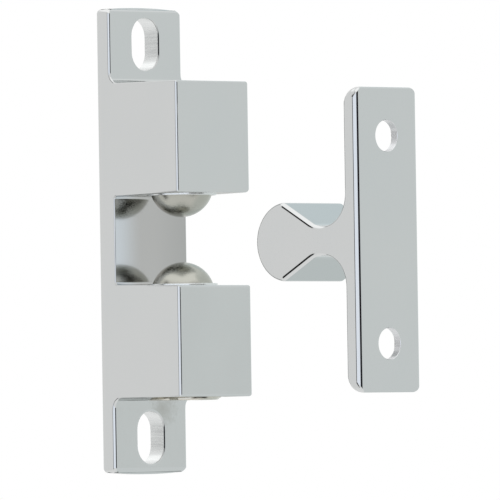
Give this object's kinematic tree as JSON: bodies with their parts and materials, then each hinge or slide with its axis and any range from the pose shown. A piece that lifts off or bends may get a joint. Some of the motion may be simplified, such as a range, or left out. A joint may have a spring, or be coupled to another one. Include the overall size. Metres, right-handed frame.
{
  "type": "double ball catch",
  "caption": "Surface-mounted cupboard door catch: two jaws with sprung, adjustable balls, and a strike whose round head on a thin neck snaps in between them.",
  "frame": {"origin": "middle of the catch's back face, the face that lies on the cupboard", "axes": "+X from the back face out through the jaws towards the strike, +Z along the catch from the lower screw slot to the upper one, +Y across its width"},
  "size_m": [0.045, 0.0132, 0.06],
  "materials": {
    "body_chrome": "polished chrome plate",
    "strike_chrome": "polished chrome plate",
    "upper_ball_steel": "satin hardened steel",
    "lower_ball_steel": "satin hardened steel",
    "upper_adjuster_nickel": "turned and nickel plated",
    "lower_adjuster_nickel": "turned and nickel plated",
    "upper_spring_steel": "drawn spring wire",
    "lower_spring_steel": "drawn spring wire"
  },
  "bodies": {
    "catch_body": {"catch_body": "body_chrome"},
    "strike": {"strike": "strike_chrome"},
    "upper_ball": {"upper_ball": "upper_ball_steel"},
    "lower_ball": {"lower_ball": "lower_ball_steel"},
    "upper_spring": {"upper_spring": "upper_spring_steel"},
    "lower_spring": {"lower_spring": "lower_spring_steel"},
    "upper_adjuster": {"upper_adjuster": "upper_adjuster_nickel"},
    "lower_adjuster": {"lower_adjuster": "lower_adjuster_nickel"}
  },
  "joints": [
    {"name": "strike_close", "type": "slide", "parent": "catch_body", "child": "strike", "axis": [-0.9993, 0, 0.0376], "range_m": [0, 0.0239]},
    {"name": "upper_ball_slide", "type": "slide", "parent": "catch_body", "child": "upper_ball", "axis": [0, 0, 1], "range_m": [0, 0.0023], "deforming": ["upper_spring"]},
    {"name": "lower_ball_slide", "type": "slide", "parent": "catch_body", "child": "lower_ball", "axis": [0, 0, -1], "range_m": [0, 0.0023], "deforming": ["lower_spring"]},
    {"name": "upper_adjuster_travel", "type": "slide", "parent": "catch_body", "child": "upper_spring", "axis": [0, 0, 1], "range_m": [0, 0.001]},
    {"name": "upper_adjuster_turn", "type": "hinge", "parent": "upper_spring", "child": "upper_adjuster", "pos_m": [0.0086, 0, 0.0182], "axis": [0, 0, 1], "range_deg": [0, 360]},
    {"name": "lower_adjuster_travel", "type": "slide", "parent": "catch_body", "child": "lower_spring", "axis": [0, 0, -1], "range_m": [0, 0.001]},
    {"name": "lower_adjuster_turn", "type": "hinge", "parent": "lower_spring", "child": "lower_adjuster", "pos_m": [0.0086, 0, -0.0187], "axis": [0, 0, -1], "range_deg": [0, 360]}
  ],
  "couplings": [
    {"joint": "upper_ball_slide", "follows": "strike_close", "ratio": 0.096},
    {"joint": "lower_ball_slide", "follows": "strike_close", "ratio": 0.096},
    {"joint": "upper_adjuster_turn", "follows": "upper_adjuster_travel", "rad_per_m": 6283.1},
    {"joint": "lower_adjuster_turn", "follows": "lower_adjuster_travel", "rad_per_m": 6283.1}
  ]
}
